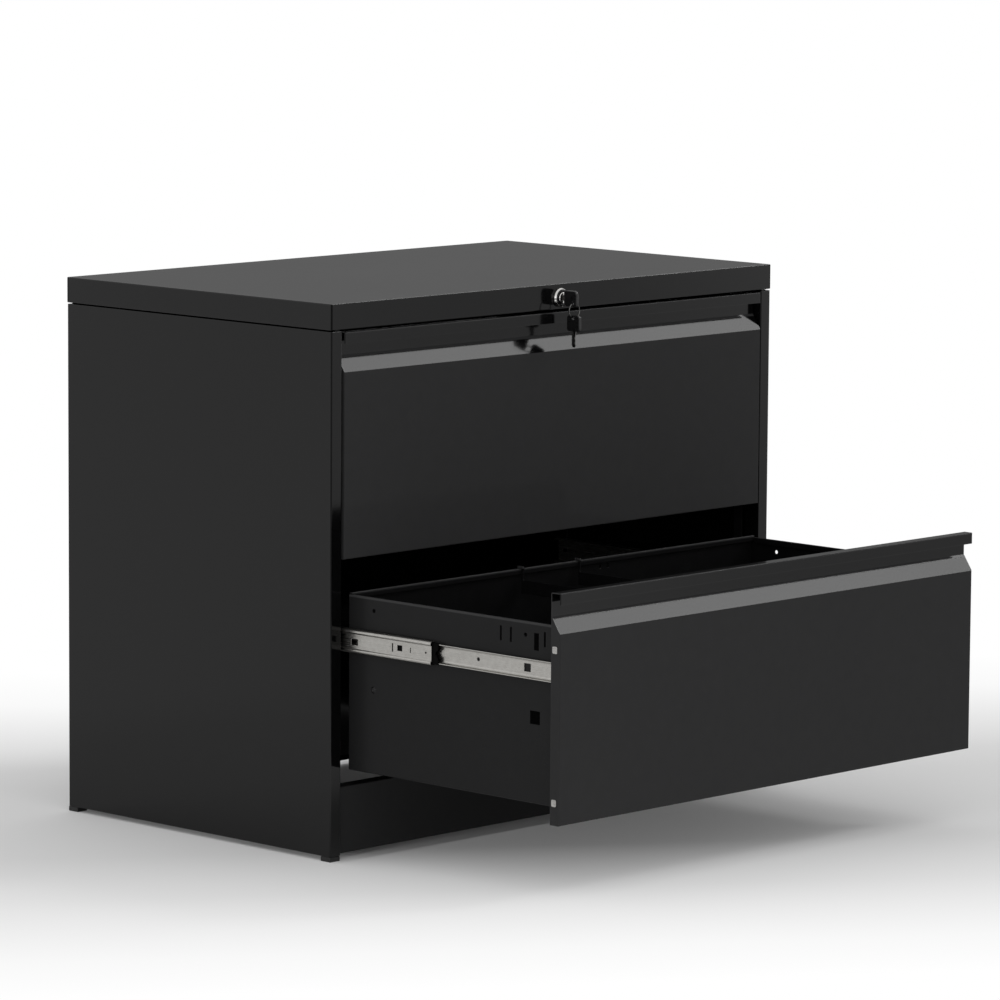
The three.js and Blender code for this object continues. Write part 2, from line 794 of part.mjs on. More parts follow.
// Key: the moulded grip lies in the plane of the blade
function gripSolid(length, rise) {
  const edge = 1;
  const corner = 4;
  const x = length / 2 - edge;
  const y = rise / 2 - edge;
  const outline = new THREE.Shape();
  outline.moveTo(-x + corner, -y);
  outline.absarc(x - corner, -y + corner, corner, -Math.PI / 2, 0, false);
  outline.absarc(x - corner, y - corner, corner, 0, Math.PI / 2, false);
  outline.absarc(-x + corner, y - corner, corner, Math.PI / 2, Math.PI, false);
  outline.absarc(-x + corner, -y + corner, corner, Math.PI, 1.5 * Math.PI, false);
  const geometry = new THREE.ExtrudeGeometry(outline, {
    depth: gripThickness - 2 * edge,
    bevelEnabled: true,
    bevelSize: edge,
    bevelThickness: edge,
    bevelSegments: 2,
    curveSegments: 5,
  });
  geometry.translate(0, 0, edge - gripThickness / 2);
  geometry.applyMatrix4(new THREE.Matrix4().makeBasis(axisY, axisZ, axisX));
  return geometry;
}

// Blade along +Y from its shank end, cuts along its lower edge
function bladeSolid(shank, length) {
  const half = bladeHeight / 2;
  const points = [[0, half], [0, -half], [shank, -half]];
  const notches = Math.floor((length - shank - 4) / 3);
  for (let notch = 0; notch < notches; notch += 1) {
    const y = shank + 2 + notch * 3;
    const root = -half + 1 + (notch % 3) * 0.5;
    points.push([y, -half], [y + 0.8, root], [y + 1.4, root], [y + 2.2, -half]);
  }
  points.push([length - 2, -half], [length, -half + 2], [length, half - 1], [length - 1, half]);
  return alongX(shapeOf(points.reverse()), -bladeThickness / 2, bladeThickness / 2);
}

const pocket = 8;
const pocketHalf = bladeHeight / 2 + gap;
const keyFace = plugFront - 2.5;
const gripY = keyFace - gripLength / 2;
const keyGrip = cut(
  gripSolid(gripLength, gripHeight).translate(0, gripY, lockZ),
  block(
    -bladeThickness / 2 - gap, bladeThickness / 2 + gap, keyFace - pocket, keyFace + 1,
    lockZ - pocketHalf, lockZ + pocketHalf,
  ),
  rodX(ringHole, -gripThickness, gripThickness, keyFace - gripLength + ringHoleInset, lockZ - ringHoleDrop),
);
add(lock, 'key_grip', keyGrip, 'plastic');
const keyStart = keyFace - pocket + gap;
add(lock, 'key_blade', bladeSolid(12, frontY + 14 - keyStart).translate(0, keyStart, lockZ), 'nickel');

export default object;
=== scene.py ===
"""Two-drawer lateral filing cabinet: finishes, small fittings, light and camera."""
import math

import bmesh
import bpy
from mathutils import Matrix, Vector


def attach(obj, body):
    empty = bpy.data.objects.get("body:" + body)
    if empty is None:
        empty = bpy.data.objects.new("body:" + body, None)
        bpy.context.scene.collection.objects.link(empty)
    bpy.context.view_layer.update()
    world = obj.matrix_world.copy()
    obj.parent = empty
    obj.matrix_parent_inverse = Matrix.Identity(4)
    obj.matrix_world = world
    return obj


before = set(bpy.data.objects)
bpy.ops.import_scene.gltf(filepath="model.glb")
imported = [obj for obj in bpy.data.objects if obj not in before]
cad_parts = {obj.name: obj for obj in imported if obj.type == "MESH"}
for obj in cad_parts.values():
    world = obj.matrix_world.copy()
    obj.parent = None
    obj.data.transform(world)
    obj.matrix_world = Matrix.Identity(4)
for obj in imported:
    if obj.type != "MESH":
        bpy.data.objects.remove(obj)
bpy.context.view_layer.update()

MM = 0.001

# The carcass, seen from above
CABINET_MIDDLE = (0.0, 193.05 * MM, 0.0)
CABINET_HALF = (425.0 * MM, 253.5 * MM)

# Where a noise mostly stays, and how a rounded normal agrees with a flat one along an edge
NOISE_SPAN = (0.3, 0.7)
EDGE_TURN = (0.99, 0.9)
ROUNDING_SAMPLES = 6


class Value:
    """A shader value. Arithmetic on it adds Math nodes to its material."""

    def __init__(self, finish, socket):
        self.finish = finish
        self.socket = socket

    def math(self, operation, *values):
        return self.finish.node("ShaderNodeMath", {"operation": operation}, dict(enumerate(values)))

    def __add__(self, other):
        return self.math("ADD", self, other)

    def __radd__(self, other):
        return self.math("ADD", other, self)

    def __sub__(self, other):
        return self.math("SUBTRACT", self, other)

    def __rsub__(self, other):
        return self.math("SUBTRACT", other, self)

    def __mul__(self, other):
        return self.math("MULTIPLY", self, other)

    def __rmul__(self, other):
        return self.math("MULTIPLY", other, self)

    def above(self, limit):
        """One where the value is over the limit, nought elsewhere."""
        return self.math("GREATER_THAN", self, limit)

    def clamp(self):
        return self.finish.node("ShaderNodeClamp", {}, {"Value": self, "Min": 0.0, "Max": 1.0})

    def ranged(self, start, end, low=0.0, high=1.0, smooth=False):
        """Runs from low to high as the value runs from start to end."""
        settings = {"interpolation_type": "SMOOTHSTEP"} if smooth else {}
        return self.finish.node("ShaderNodeMapRange", settings, {
            "Value": self, "From Min": start, "From Max": end, "To Min": low, "To Max": high,
        })


class Finish:
    """One node material, built up from node()."""

    def __init__(self, name, tree=None):
        if tree is None:
            self.material = bpy.data.materials.new(name)
            self.material.use_nodes = True
            tree = self.material.node_tree
        self.tree = tree
        self.tree.nodes.clear()

    def node(self, kind, settings=None, inputs=None, output=0):
        made = self.tree.nodes.new(kind)
        for key, setting in (settings or {}).items():
            if key == "stops":
                for index, (place, shade) in enumerate(setting):
                    stops = made.color_ramp.elements
                    stop = stops[index] if index < 2 else stops.new(place)
                    stop.position = place
                    stop.color = (shade, shade, shade, 1.0)
            else:
                setattr(made, key, setting)
        for key, value in (inputs or {}).items():
            if isinstance(value, Value):
                self.tree.links.new(value.socket, made.inputs[key])
            else:
                made.inputs[key].default_value = value
        return Value(self, made.outputs[output]) if made.outputs else made

    def place(self):
        return self.node("ShaderNodeTexCoord", output="Object")

    def along(self, vector, axis):
        return self.node("ShaderNodeSeparateXYZ", {}, {"Vector": vector}, axis)

    def vectors(self, operation, first, second, output="Vector"):
        return self.node("ShaderNodeVectorMath", {"operation": operation}, {
            0: first, 1: second,
        }, output)

    def noise(self, scale, detail, roughness=0.5, vector=None):
        return self.node("ShaderNodeTexNoise", {}, {
            "Vector": vector or self.place(), "Scale": scale,
            "Detail": detail, "Roughness": roughness,
        }, "Fac")

    def lines(self, stretch, detail, roughness):
        """A noise drawn out into lines."""
        drawn = self.node("ShaderNodeMapping", {}, {"Vector": self.place(), "Scale": stretch})
        return self.noise(1.0, detail, roughness, drawn)

    def cells(self, scale):
        return self.node("ShaderNodeTexVoronoi", {}, {
            "Vector": self.place(), "Scale": scale,
        }, "Distance")

    def spread(self, value, low, high):
        """Takes a noise from its usual span to the span from low to high."""
        return value.ranged(*NOISE_SPAN, low, high)

    def blend(self, factor, under, over):
        """Goes from one colour to another, each a plain shade or a value."""
        under, over = (
            colour if isinstance(colour, Value) else (*colour, 1.0) for colour in (under, over)
        )
        return self.node("ShaderNodeMix", {"data_type": "RGBA"}, {
            "Factor": factor, "A": under, "B": over,
        }, 2)

    def softened(self, radius):
        return self.node("ShaderNodeBevel", {"samples": ROUNDING_SAMPLES}, {"Radius": radius})

    def flat_normal(self):
        return self.node("ShaderNodeNewGeometry", output="True Normal")

    def edges(self, rounding):
        """One along the edges that the rounding has turned, nought on the flats."""
        agreement = self.vectors("DOT_PRODUCT", rounding, self.flat_normal(), "Value")
        return agreement.ranged(*EDGE_TURN)

    def facing(self, axis):
        """How far a face looks along an axis of the cabinet."""
        return self.along(self.flat_normal(), axis)

    def slopes(self):
        """One on faces pitched like the finger-pull bevels, nought on upright and level ones."""
        pitch = self.facing("Z")
        return pitch.math("COMPARE", pitch, BEVEL_PITCH, BEVEL_PITCH_PLAY)

    def outward(self):
        """Above nought on faces looking away from the cabinet's middle, below it on inner ones."""
        return self.along(self.place(), "X") * self.facing("X")

    def off_middle(self, axis):
        """Distance from the cabinet's middle along an axis."""
        offset = self.along(self.vectors("SUBTRACT", self.place(), CABINET_MIDDLE), axis)
        return offset.math("ABSOLUTE", offset)

    def seen(self):
        """One for what is looked at, straight or in metal and glass, nought for light alone."""
        rays = 0.0
        for ray in ("Is Camera Ray", "Is Glossy Ray", "Is Transmission Ray"):
            rays = self.node("ShaderNodeLightPath", output=ray) + rays
        return rays.clamp()

    def bump(self, height, strength, distance, normal):
        return self.node("ShaderNodeBump", {}, {
            "Height": height, "Strength": strength, "Distance": distance, "Normal": normal,
        })

    def done(self, **surface):
        inputs = {name.replace("_", " "): value for name, value in surface.items()}
        shader = self.node("ShaderNodeBsdfPrincipled", {}, inputs)
        self.node("ShaderNodeOutputMaterial", {}, {"Surface": shader})
        return self.material


# Enamel: the scales of its noises, its orange peel and its polished coat
PEEL_SCALE = 420.0
PEEL_STRENGTH = 0.025
PEEL_HEIGHT = 0.3 * MM
CLOUD_SCALE = 7.0
DUST_SCALE = 1500.0
DUST_GLOSS = (-0.01, 0.02)
MOTTLE_SCALE = 60.0
WEAR_SCALE = 35.0
LEAST_WEAR = 0.7
COAT_ROUGHNESS = 0.12
COAT_IOR = 1.9

# Finger pulls: pitch of the bevels, and the strip of bevel that the lip shadows from the lamp,
# which keeps the front's lighter shade as painted light over that shadow
BEVEL_PITCH = 0.56
BEVEL_PITCH_PLAY = 0.15
BEVEL_SHINE = 0.070
PULL_SHINE = 0.285
PULL_BLACK = (0.0022, 0.0022, 0.0023)
LIP_SHADOW_STRIP = (3.8 * MM, 2.8 * MM)

# Painted highlights on the rims of the drawers' sheets; painted shade up the cap's corners
RIM_HIGHLIGHT_GREY = (0.0400, 0.0400, 0.0404)
BACK_RIM_HIGHLIGHT_GREY = (0.0200, 0.0200, 0.0202)
RIM_HIGHLIGHT_BAND = 2.4 * MM
RIM_HIGHLIGHT_FADE = 0.8 * MM
OUTWARD_LOOK = 0.2
CORNER_SHADE_WIDTH = 1.9 * MM
CORNER_SHADE_DEPTH = 0.75


def enamel(name, shades, ior, rough, edge, shine, pull=None, outer=None, rim=None, painted_corner_shade=False):
    """Stoved black enamel: faint orange peel, slow changes of gloss, dust and polished edges.

    A drawer front is darker and glossy in its finger pull, above the height pull, and on the
    pull's bevel, whose uppermost strip, in the lip's shadow from the lamp, keeps the front's
    lighter shade: painted light over that shadow. A drawer wall has its own, lighter shades on
    its outside: painted light, set against the shade inside the drawer. A drawer's sheet has a
    painted highlight, a lighter grey band along its rim, given by height and shade. The cap has
    a dull dark line of painted shade up each corner of its pan, for the dark line that its
    rounded corners show.
    """
    finish = Finish(name)
    peel = finish.noise(PEEL_SCALE, detail=2.0, roughness=0.45)
    cloud = finish.noise(CLOUD_SCALE, detail=3.0)
    dust = finish.noise(DUST_SCALE, detail=1.0)
    gloss = finish.spread(cloud, *rough) + finish.spread(dust, *DUST_GLOSS)
    mottle = finish.noise(MOTTLE_SCALE, detail=4.0, roughness=0.6)
    shade = finish.blend(mottle, *shades)
    # The outside of a drawer wall takes lighter shades than its inside: painted light
    if outer:
        outward = finish.outward()
        outside = outward.above(OUTWARD_LOOK)
        shade = finish.blend(outside, shade, finish.blend(mottle, *outer))
    if pull or rim:
        height = finish.along(finish.place(), "Z")
    # A band along the rim of a drawer's sheet takes a lighter grey: a painted highlight
    if rim:
        rim_height, rim_highlight_shade = rim
        band = rim_height - RIM_HIGHLIGHT_BAND
        painted_rim_highlight = height.ranged(band - RIM_HIGHLIGHT_FADE, band)
        if outer:
            painted_rim_highlight = painted_rim_highlight * outward.above(-OUTWARD_LOOK)
        shade = finish.blend(painted_rim_highlight, shade, rim_highlight_shade)
    rounding = finish.softened(edge)
    normal = finish.bump(peel, PEEL_STRENGTH, PEEL_HEIGHT, rounding)
    polish = 0.0
    if shine:
        wear = finish.noise(WEAR_SCALE, detail=3.0)
        polish = finish.edges(rounding) * finish.spread(wear, LEAST_WEAR * shine, shine)
    if pull:
        slope = finish.slopes()
        upright = height.above(pull) * (1 - slope)
        # The bevel's top strip, in the lip's shadow, keeps the front's lighter shade: painted light
        shelter_start, shelter_end = (pull - drop for drop in LIP_SHADOW_STRIP)
        open_slope = slope * height.ranged(shelter_start, shelter_end, 1.0, 0.0)
        shade = finish.blend(upright + open_slope, shade, PULL_BLACK)
        polish = (polish + BEVEL_SHINE * slope + PULL_SHINE * upright).clamp()
    corner_shade = 0.0
    # A dull dark line up each corner of the cap, its dark base made metallic: painted shade
    if painted_corner_shade:
        corner_shade = CORNER_SHADE_DEPTH
        for axis, half in zip("XY", CABINET_HALF):
            corner_shade = corner_shade * finish.off_middle(axis).above(half - CORNER_SHADE_WIDTH)
    return finish.done(
        Base_Color=shade, Roughness=gloss, Metallic=corner_shade, IOR=ior, Normal=normal,
        Coat_Weight=polish, Coat_Roughness=COAT_ROUGHNESS, Coat_IOR=COAT_IOR,
    )


# Zinc: its drawing lines and spangle, and the lines' share in its shade
DRAWING_STRETCH = (900.0, 14.0, 900.0)
DRAWING_SHARE = 0.65
DRAWING_STRENGTH = 0.06
DRAWING_HEIGHT = 0.2 * MM
SPANGLE_SCALE = 160.0

# Polished plate: its tarnish and its handling scratches
TARNISH_SCALE = 90.0
PLATE_GLOSS = (0.09, 0.2)
SCRATCH_STRETCH = (500.0, 2600.0, 2600.0)
SCRATCH_STRENGTH = 0.03
SCRATCH_HEIGHT = 0.1 * MM

# Lock bezel: height of its centre, and the radii between its lined face and its bare rim
LOCK_Z = 708.1 * MM
BEZEL_LINE = (11.2 * MM, 11.6 * MM)
BEZEL_SHADES = ((0.003, 0.003, 0.0032), (0.66, 0.65, 0.63))
BEZEL_GLOSS = (0.08, 0.16)

# Plastic and rubber
MOULD_MOTTLE_SCALE = 300.0
MOULD_GLOSS_SCALE = 120.0
GRAIN_STRENGTH = 0.12
GRAIN_HEIGHT = 0.1 * MM

# Rounded edges of the polished plate and of the other small fittings
PLATE_EDGE = 0.4 * MM
FITTING_EDGE = 0.5 * MM


def zinc_plate(name, dark, light, rough):
    """Bright zinc on rolled steel: lengthwise drawing lines over a faint spangle."""
    finish = Finish(name)
    lines = finish.lines(DRAWING_STRETCH, detail=3.0, roughness=0.6)
    spangle = finish.cells(SPANGLE_SCALE)
    mottle = DRAWING_SHARE * lines + (1 - DRAWING_SHARE) * spangle
    shade = finish.blend(mottle.clamp(), dark, light)
    gloss = finish.spread(lines, *rough)
    normal = finish.bump(lines, DRAWING_STRENGTH, DRAWING_HEIGHT, finish.softened(FITTING_EDGE))
    return finish.done(Base_Color=shade, Roughness=gloss, Metallic=1.0, Normal=normal)


def polished_metal(name, dark, light):
    """Polished plate with fine handling scratches."""
    finish = Finish(name)
    scratches = finish.lines(SCRATCH_STRETCH, detail=4.0, roughness=0.7)
    shade = finish.blend(finish.noise(TARNISH_SCALE, detail=3.0), dark, light)
    gloss = finish.spread(scratches, *PLATE_GLOSS)
    rounding = finish.softened(PLATE_EDGE)
    normal = finish.bump(scratches, SCRATCH_STRENGTH, SCRATCH_HEIGHT, rounding)
    return finish.done(Base_Color=shade, Roughness=gloss, Metallic=1.0, Normal=normal)


def lined_bezel(name):
    """Polished nickel rim round the lock, with a black enamelled face inside it."""
    finish = Finish(name)
    offset = finish.vectors("SUBTRACT", finish.place(), (0.0, 0.0, LOCK_Z))
    flat = finish.vectors("MULTIPLY", offset, (1.0, 0.0, 1.0))
    radius = finish.node("ShaderNodeVectorMath", {"operation": "LENGTH"}, {0: flat}, "Value")
    rim = radius.ranged(*BEZEL_LINE)
    scratches = finish.lines(SCRATCH_STRETCH, detail=4.0, roughness=0.7)
    shade = finish.blend(rim, *BEZEL_SHADES)
    gloss = finish.spread(scratches, *BEZEL_GLOSS)
    rounding = finish.softened(FITTING_EDGE)
    normal = finish.bump(scratches, SCRATCH_STRENGTH, SCRATCH_HEIGHT, rounding)
    return finish.done(
        Base_Color=shade, Roughness=gloss, Metallic=rim, IOR=1.375, Normal=normal)


def moulded(name, dark, light, ior, rough, grain):
    """Moulded black plastic or rubber with a fine spark-eroded grain."""
    finish = Finish(name)
    pits = finish.cells(grain)
    shade = finish.blend(finish.noise(MOULD_MOTTLE_SCALE, detail=3.0), dark, light)
    gloss = finish.spread(finish.noise(MOULD_GLOSS_SCALE, detail=2.0), *rough)
    normal = finish.bump(pits, GRAIN_STRENGTH, GRAIN_HEIGHT, finish.softened(FITTING_EDGE))
    return finish.done(Base_Color=shade, Roughness=gloss, Metallic=0.0, IOR=ior, Normal=normal)


def top_of(node):
    """Height of a node's highest point."""
    return max(vert.co.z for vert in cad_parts[node].data.vertices)


# Finishes, with a set for each drawer where they follow its heights
PULL_HEIGHTS = {"upper": 658.9 * MM, "lower": 361.9 * MM}
CARCASS_SHADES = ((0.0016, 0.0016, 0.0017), (0.0028, 0.0028, 0.0029))
SHEET_SHADES = ((0.0040, 0.0040, 0.0042), (0.0060, 0.0060, 0.0062))
FRONT_SHADES = ((0.0270, 0.0270, 0.0274), (0.0314, 0.0314, 0.0318))
# Outsides of the drawer walls: lighter shades, painted light against the shaded insides
OUTER_PAINTED_LIGHT_SHADES = ((0.0140, 0.0140, 0.0142), (0.0165, 0.0165, 0.0168))
BACK_SHADES = ((0.0050, 0.0050, 0.0052), (0.0072, 0.0072, 0.0074))
PLINTH_SHADES = ((0.0210, 0.0210, 0.0213), (0.0245, 0.0245, 0.0248))
RAIL_SHADES = ((0.0040, 0.0040, 0.0042), (0.0070, 0.0070, 0.0072))

front_black = {
    level: enamel(
        level + "_front_black", FRONT_SHADES, ior=1.08, rough=(0.04, 0.08), edge=0.9 * MM,
        shine=0.25, pull=pull)
    for level, pull in PULL_HEIGHTS.items()
}
cabinet_black = enamel(
    "cabinet_black", CARCASS_SHADES, ior=1.365, rough=(0.06, 0.10), edge=0.9 * MM, shine=0.0)
# The cap takes a dark line of painted shade up each corner
cap_black = enamel(
    "cap_black", CARCASS_SHADES, ior=1.365, rough=(0.06, 0.10), edge=0.9 * MM, shine=0.0,
    painted_corner_shade=True)
drawer_black = enamel(
    "drawer_black", SHEET_SHADES, ior=1.25, rough=(0.12, 0.20), edge=1.6 * MM, shine=1.0)
# The drawer walls take painted light on their outsides and a painted highlight along their rims
wall_black = {
    level: enamel(
        level + "_wall_black", SHEET_SHADES, ior=1.14, rough=(0.20, 0.30), edge=1.6 * MM,
        shine=0.0, outer=OUTER_PAINTED_LIGHT_SHADES, rim=(top_of(level + "_drawer_left_wall"), RIM_HIGHLIGHT_GREY))
    for level in PULL_HEIGHTS
}
# The drawer backs take a fainter painted highlight along their rims
back_black = {
    level: enamel(
        level + "_back_black", BACK_SHADES, ior=1.14, rough=(0.20, 0.30), edge=1.6 * MM,
        shine=0.0, rim=(top_of(level + "_drawer_back_wall"), BACK_RIM_HIGHLIGHT_GREY))
    for level in PULL_HEIGHTS
}
plinth_black = enamel(
    "plinth_black", PLINTH_SHADES, ior=1.15, rough=(0.16, 0.24), edge=0.9 * MM, shine=0.25)
# The rails take the same painted highlight on their hooks, their highest part
rail_black = {
    level: enamel(
        level + "_rail_black", RAIL_SHADES, ior=1.25, rough=(0.18, 0.28), edge=0.6 * MM,
        shine=0.5, rim=(top_of(level + "_left_hanging_rail"), RIM_HIGHLIGHT_GREY))
    for level in PULL_HEIGHTS
}
runner_zinc = zinc_plate(
    "runner_zinc", (0.34, 0.33, 0.31), (0.52, 0.51, 0.485), rough=(0.22, 0.36))
fitting_zinc = zinc_plate(
    "fitting_zinc", (0.34, 0.335, 0.32), (0.50, 0.49, 0.475), rough=(0.26, 0.42))
# Darkened zinc, painted shade for the lock's fittings and the upper clips, which sit in shade
painted_shade_zinc = zinc_plate(
    "painted_shade_zinc", (0.035, 0.035, 0.036), (0.06, 0.06, 0.061), rough=(0.35, 0.5))
lock_nickel = polished_metal("lock_nickel", (0.60, 0.59, 0.57), (0.72, 0.71, 0.69))
key_steel = polished_metal("key_steel", (0.11, 0.11, 0.108), (0.17, 0.168, 0.163))
lock_bezel = lined_bezel("lock_bezel")
key_plastic = moulded(
    "key_plastic", (0.004, 0.004, 0.0042), (0.008, 0.008, 0.0084),
    ior=1.46, rough=(0.24, 0.36), grain=1900.0)
retainer_plastic = moulded(
    "retainer_plastic", (0.002, 0.002, 0.002), (0.004, 0.004, 0.004),
    ior=1.07, rough=(0.4, 0.5), grain=1400.0)
foot_rubber = moulded(
    "foot_rubber", (0.007, 0.007, 0.007), (0.014, 0.014, 0.014),
    ior=1.4, rough=(0.5, 0.65), grain=1100.0)

# Which node takes which finish: by its name, by its ending, or by its ending and its drawer
NAMED_FINISHES = {
    "lock_housing": lock_bezel, "lock_plug": lock_nickel, "key_blade": key_steel,
    "top_cap": cap_black, "kick_plate": plinth_black,
}
# Lock studs take the darkened zinc, painted shade
ENDING_FINISHES = {
    "_foot": foot_rubber, "_retainer": retainer_plastic, "_grip": key_plastic,
    "_lock_stud": painted_shade_zinc, "_inner_front": drawer_black, "_base": drawer_black,
}
DRAWER_FINISHES = {
    "_hanging_rail": rail_black, "_left_wall": wall_black, "_right_wall": wall_black,
    "_back_wall": back_black, "_drawer_front": front_black,
}


def finish_for(node):
    """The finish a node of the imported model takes, by what it is."""
    if node in NAMED_FINISHES:
        return NAMED_FINISHES[node]
    for ending, finish in ENDING_FINISHES.items():
        if node.endswith(ending):
            return finish
    for ending, finishes in DRAWER_FINISHES.items():
        if node.endswith(ending):
            return finishes[node.split("_")[0]]
    if "_runner_" in node:
        return runner_zinc
    # The lock's other fittings take the darkened zinc, painted shade
    if node.startswith("lock_"):
        return painted_shade_zinc
    return cabinet_black


for node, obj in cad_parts.items():
    obj.data.materials.clear()
    obj.data.materials.append(finish_for(node))


# Upward part of a normal, over which a face of a plate counts as level
LEVEL_FACE = 0.9


def piece(name, mesh, body, material):
    """Makes an object of a finished bmesh in millimetres, riding on a body."""
    bmesh.ops.scale(mesh, verts=mesh.verts, vec=(MM, MM, MM))
    bmesh.ops.recalc_face_normals(mesh, faces=mesh.faces)
    data = bpy.data.meshes.new(name)
    mesh.to_mesh(data)
    mesh.free()
    obj = bpy.data.objects.new(name, data)
    bpy.context.collection.objects.link(obj)
    data.materials.append(material)
    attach(obj, body)


def rounded_sheet(mesh, width, height, corner, segments):
    """A flat face with rounded corners, in the XY plane."""
    bmesh.ops.create_grid(mesh, x_segments=1, y_segments=1, size=0.5)
    bmesh.ops.scale(mesh, verts=mesh.verts, vec=(width, height, 1.0))
    bmesh.ops.bevel(
        mesh, geom=mesh.verts[:], offset=corner, segments=segments, profile=0.5, material=-1,
        affect="VERTICES",
    )


def thicken(mesh, thickness):
    """Raises a flat sheet into a plate."""
    raised = bmesh.ops.extrude_face_region(mesh, geom=mesh.faces[:])["geom"]
    verts = [item for item in raised if isinstance(item, bmesh.types.BMVert)]
    bmesh.ops.translate(mesh, verts=verts, vec=(0.0, 0.0, thickness))
    bmesh.ops.recalc_face_normals(mesh, faces=mesh.faces)


def ease_edges(mesh, angle, offset, segments):
    """Rounds the edges that are sharper than an angle."""
    edges = [
        edge for edge in mesh.edges
        if edge.is_manifold and edge.calc_face_angle() > math.radians(angle)
    ]
    bmesh.ops.bevel(
        mesh, geom=edges, offset=offset, segments=segments, profile=0.5, material=-1,
        affect="EDGES",
    )


def stand(mesh, side, place):
    """Turns a plate drawn in the XY plane to face along X, outward on its side of the cabinet."""
    upright = Matrix(((0.0, 0.0, side), (1.0, 0.0, 0.0), (0.0, 1.0, 0.0)))
    bmesh.ops.transform(mesh, matrix=upright.to_4x4(), verts=mesh.verts)
    bmesh.ops.translate(mesh, verts=mesh.verts, vec=place)


# Spare key on its ring, hanging from the key in the lock, in millimetres
RING_PLACE = (0.0, -87.05, 692.5)
RING_RADIUS = 10.0
RING_WIRE = 0.55
RING_WIRE_SIDES = 10
RING_PITCH = 2.1 * RING_WIRE
RING_TURN = math.radians(716.0)
RING_STEPS = 96
SPARE_PLACE = (0.0, -87.05, 675.4)
SPARE_WIDTH = 22.4
SPARE_HEIGHT = 21.4
SPARE_THICKNESS = 5.0
SPARE_CORNER = 4.0
SPARE_EASE = 0.9
SPARE_HOLE_RISE = 7.1
SPARE_HOLE_RADIUS = 2.2
BLADE_WIDTH = 7.0
BLADE_THICKNESS = 1.2
BLADE_TOP = 668.0
BLADE_TIP = 643.4
BLADE_COLUMNS = 4
BLADE_CUTS = (0.0, 0.4, 1.5, 0.6, 1.8, 0.9, 0.2, 0.0, 0.0)
BLADE_TAPER = 0.45
CUT_EDGE = -0.4 * BLADE_WIDTH
GROOVE_HALF = (0.26 * BLADE_WIDTH, 0.4 * (BLADE_TOP - BLADE_TIP))
GROOVE_EDGE = 0.35
GROOVE_DEPTH = 0.25


def split_ring():
    """A ring of round wire wound twice, its two turns side by side."""
    mesh = bmesh.new()
    bmesh.ops.create_circle(mesh, cap_ends=True, segments=RING_WIRE_SIDES, radius=RING_WIRE)
    bmesh.ops.translate(mesh, verts=mesh.verts, vec=(RING_RADIUS, -RING_PITCH / 2, 0.0))
    bmesh.ops.spin(
        mesh, geom=mesh.faces[:], cent=(0.0, 0.0, 0.0), axis=(0.0, 1.0, 0.0),
        dvec=(0.0, RING_PITCH / RING_STEPS, 0.0), angle=RING_TURN, steps=RING_STEPS,
    )
    bmesh.ops.translate(mesh, verts=mesh.verts, vec=RING_PLACE)
    return mesh


def spare_grip():
    """A moulded grip with eased edges and a hole for the ring."""
    mesh = bmesh.new()
    rounded_sheet(mesh, SPARE_WIDTH, SPARE_HEIGHT, SPARE_CORNER, segments=7)
    bmesh.ops.delete(mesh, geom=mesh.faces[:], context="FACES_ONLY")
    hole = bmesh.ops.create_circle(mesh, segments=len(mesh.verts), radius=SPARE_HOLE_RADIUS)
    bmesh.ops.translate(mesh, verts=hole["verts"], vec=(0.0, SPARE_HOLE_RISE, 0.0))
    bmesh.ops.bridge_loops(mesh, edges=mesh.edges[:])
    bmesh.ops.translate(mesh, verts=mesh.verts, vec=(0.0, 0.0, -SPARE_THICKNESS / 2))
    thicken(mesh, SPARE_THICKNESS)
    ease_edges(mesh, angle=60.0, offset=SPARE_EASE, segments=3)
    stand(mesh, 1.0, SPARE_PLACE)
    return mesh


def spare_blade():
    """A flat blade with cuts along one edge, a pointed tip and a milled groove on each face."""
    mesh = bmesh.new()
    length = BLADE_TOP - BLADE_TIP
    rows = len(BLADE_CUTS) - 1
    bmesh.ops.create_grid(mesh, x_segments=BLADE_COLUMNS, y_segments=rows, size=0.5)
    bmesh.ops.scale(mesh, verts=mesh.verts, vec=(BLADE_WIDTH, length, 1.0))
    bmesh.ops.translate(mesh, verts=mesh.verts, vec=(0.0, 0.0, -BLADE_THICKNESS / 2))
    for vert in mesh.verts:
        row = round((vert.co.y / length + 0.5) * rows)
        if vert.co.x < CUT_EDGE:
            vert.co.x += BLADE_CUTS[row]
        if row == 0:
            vert.co.x *= BLADE_TAPER
    thicken(mesh, BLADE_THICKNESS)
    middle = [
        face for face in mesh.faces
        if abs(face.normal.z) > LEVEL_FACE
        and abs(face.calc_center_median().x) < GROOVE_HALF[0]
        and abs(face.calc_center_median().y) < GROOVE_HALF[1]
    ]
    bmesh.ops.inset_region(mesh, faces=middle, thickness=GROOVE_EDGE, depth=-GROOVE_DEPTH)
    stand(mesh, 1.0, (0.0, SPARE_PLACE[1], (BLADE_TOP + BLADE_TIP) / 2))
    return mesh


piece("key_ring", split_ring(), "key", key_steel)
piece("spare_key_grip", spare_grip(), "key", key_plastic)
piece("spare_key_blade", spare_blade(), "key", key_steel)

